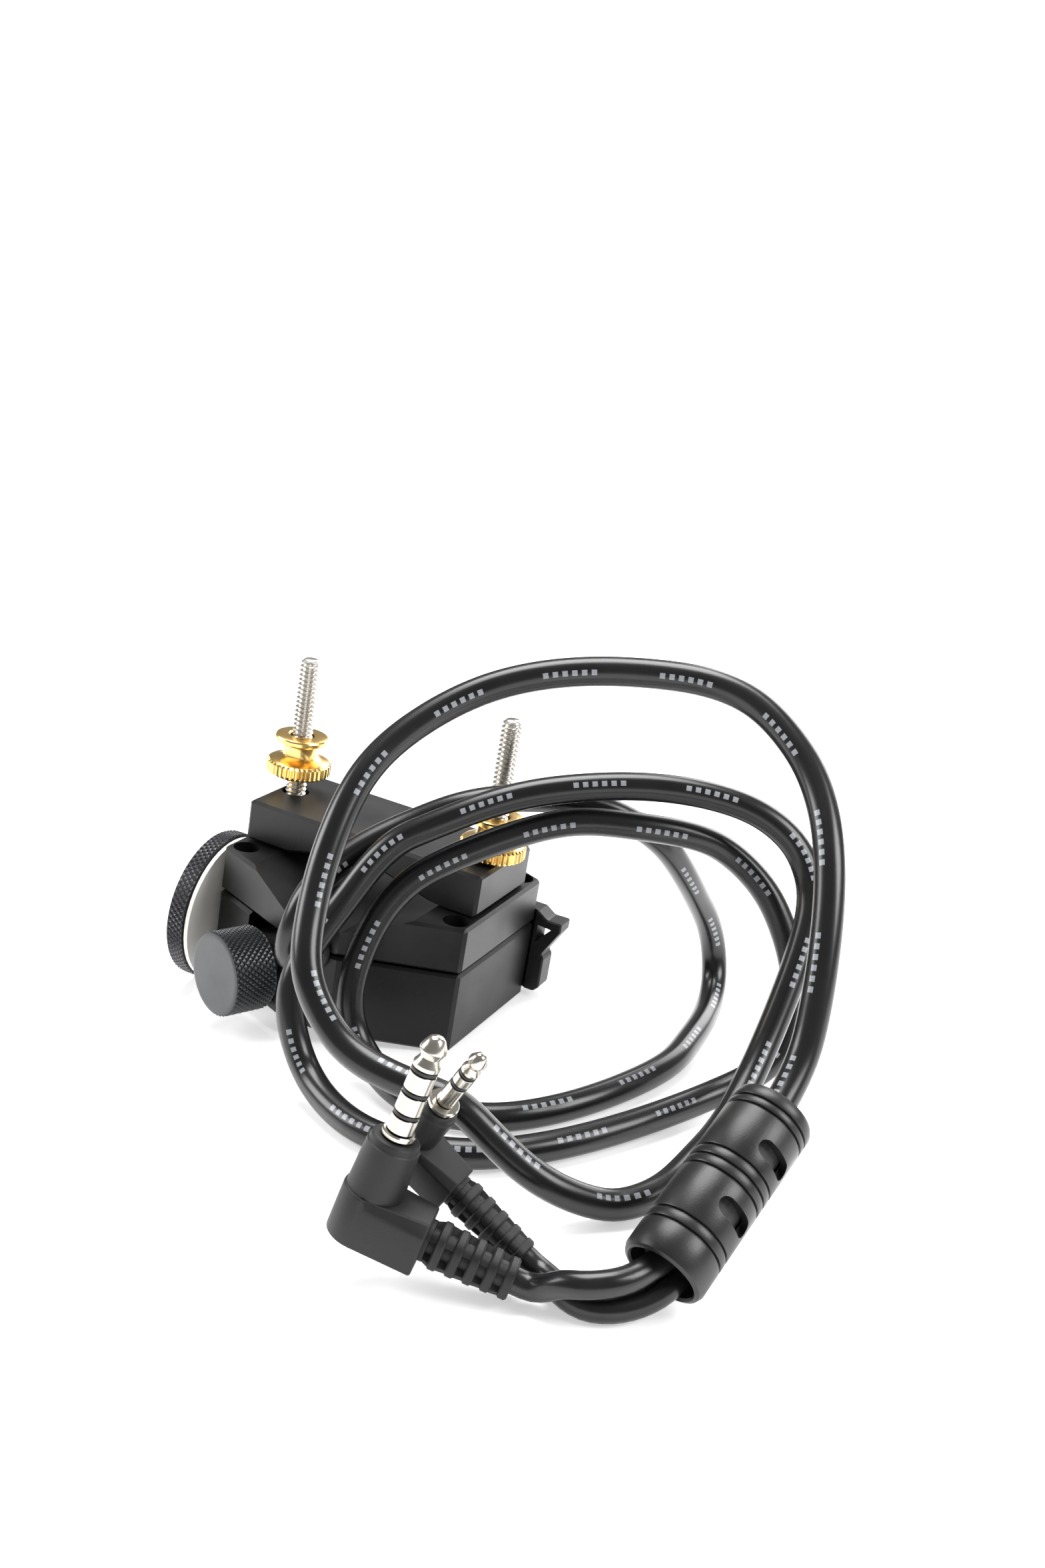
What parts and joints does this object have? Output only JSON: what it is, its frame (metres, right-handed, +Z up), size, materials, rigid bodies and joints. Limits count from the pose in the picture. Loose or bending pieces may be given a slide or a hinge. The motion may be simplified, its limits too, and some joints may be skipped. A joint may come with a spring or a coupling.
{
  "type": "wired focus and iris control with tube clamp",
  "caption": "Small black control box that clamps on a tube with a bridge and thumb nuts; knurled focus wheel, iris knob, and a looped cable with a noise filter and angled jack plugs.",
  "frame": {"origin": "on the surface it lies on, under the middle of the control box's bounding box, cable left out", "axes": "+X along the clamp from the focus wheel to the hook, +Y away from the face that the cable leaves, +Z up; the box itself lies tipped about 6 degrees about Y, on its wheel and its right edge"},
  "size_m": [0.1182, 0.1101, 0.0686],
  "materials": {
    "black_plastic": "satin black moulded plastic",
    "black_plastic_top": "satin black moulded plastic, a little glossier",
    "bridge_plastic": "satin black moulded plastic",
    "knurled_black": "black anodised, diamond knurled",
    "knob_black": "black anodised, diamond knurled side and satin face",
    "marking_white": "matte warm white",
    "dark_screw": "blackened steel",
    "stainless": "stainless, threaded",
    "brass": "bright turned brass",
    "shaft_steel": "turned steel",
    "pot_body": "dark moulded case",
    "board": "green solder mask",
    "pvc_black": "smooth black jacket",
    "rubber": "matte black rubber",
    "filter_plastic": "satin black moulded plastic",
    "ferrite": "dark grey ferrite ceramic",
    "plug_black": "matte black moulded",
    "nickel": "bright nickel plate",
    "ring_black": "black insulator"
  },
  "bodies": {
    "housing": {"cable_gland": "rubber", "cable_hook": "black_plastic", "circuit_board": "board", "ferrite_core": "ferrite", "ferrite_sleeve": "filter_plastic", "focus_pot": "pot_body", "housing_screw_1": "dark_screw", "housing_screw_2": "dark_screw", "housing_screw_3": "dark_screw", "housing_screw_4": "dark_screw", "iris_pot": "pot_body", "lead_25": "pvc_black", "lead_35": "pvc_black", "lower_housing": "black_plastic", "main_cable": "pvc_black", "plug_25_body": "plug_black", "plug_25_collar": "nickel", "plug_25_insulator_1": "ring_black", "plug_25_insulator_3": "ring_black", "plug_25_relief": "plug_black", "plug_25_ring_2": "nickel", "plug_25_sleeve": "nickel", "plug_25_tip": "nickel", "plug_35_body": "plug_black", "plug_35_collar": "nickel", "plug_35_insulator_1": "ring_black", "plug_35_insulator_3": "ring_black", "plug_35_insulator_5": "ring_black", "plug_35_relief": "plug_black", "plug_35_ring_2": "nickel", "plug_35_ring_4": "nickel", "plug_35_sleeve": "nickel", "plug_35_tip": "nickel", "stud_left": "stainless", "stud_right": "stainless", "upper_housing": "black_plastic_top"},
    "focus_wheel": {"focus_wheel": "knurled_black", "marking_disc": "marking_white", "focus_shaft": "shaft_steel"},
    "iris_knob": {"iris_knob": "knob_black", "iris_shaft": "shaft_steel"},
    "clamp_bridge": {"clamp_bridge": "bridge_plastic"},
    "thumb_nut_left": {"thumb_nut_left": "brass"},
    "thumb_nut_right": {"thumb_nut_right": "brass"}
  },
  "joints": [
    {"name": "focus_turn", "type": "hinge", "parent": "housing", "child": "focus_wheel", "pos_m": [-0.02232, -0.0034, 0.01262], "axis": [-0.9943, 0, 0.1068], "range_deg": [-150, 150]},
    {"name": "iris_turn", "type": "hinge", "parent": "housing", "child": "iris_knob", "pos_m": [-0.00957, -0.01557, 0.00984], "axis": [-0.4038, -0.9138, 0.0434], "range_deg": [-150, 150]},
    {"name": "bridge_slide", "type": "slide", "parent": "housing", "child": "clamp_bridge", "axis": [0.1068, 0, 0.9943], "range_m": [0, 0.007]},
    {"name": "nut_left_travel", "type": "slide", "parent": "clamp_bridge", "child": "thumb_nut_left", "axis": [0.1068, 0, 0.9943], "range_m": [-0.003, 0.006]},
    {"name": "nut_right_travel", "type": "slide", "parent": "clamp_bridge", "child": "thumb_nut_right", "axis": [0.1068, 0, 0.9943], "range_m": [0, 0.009]}
  ]
}
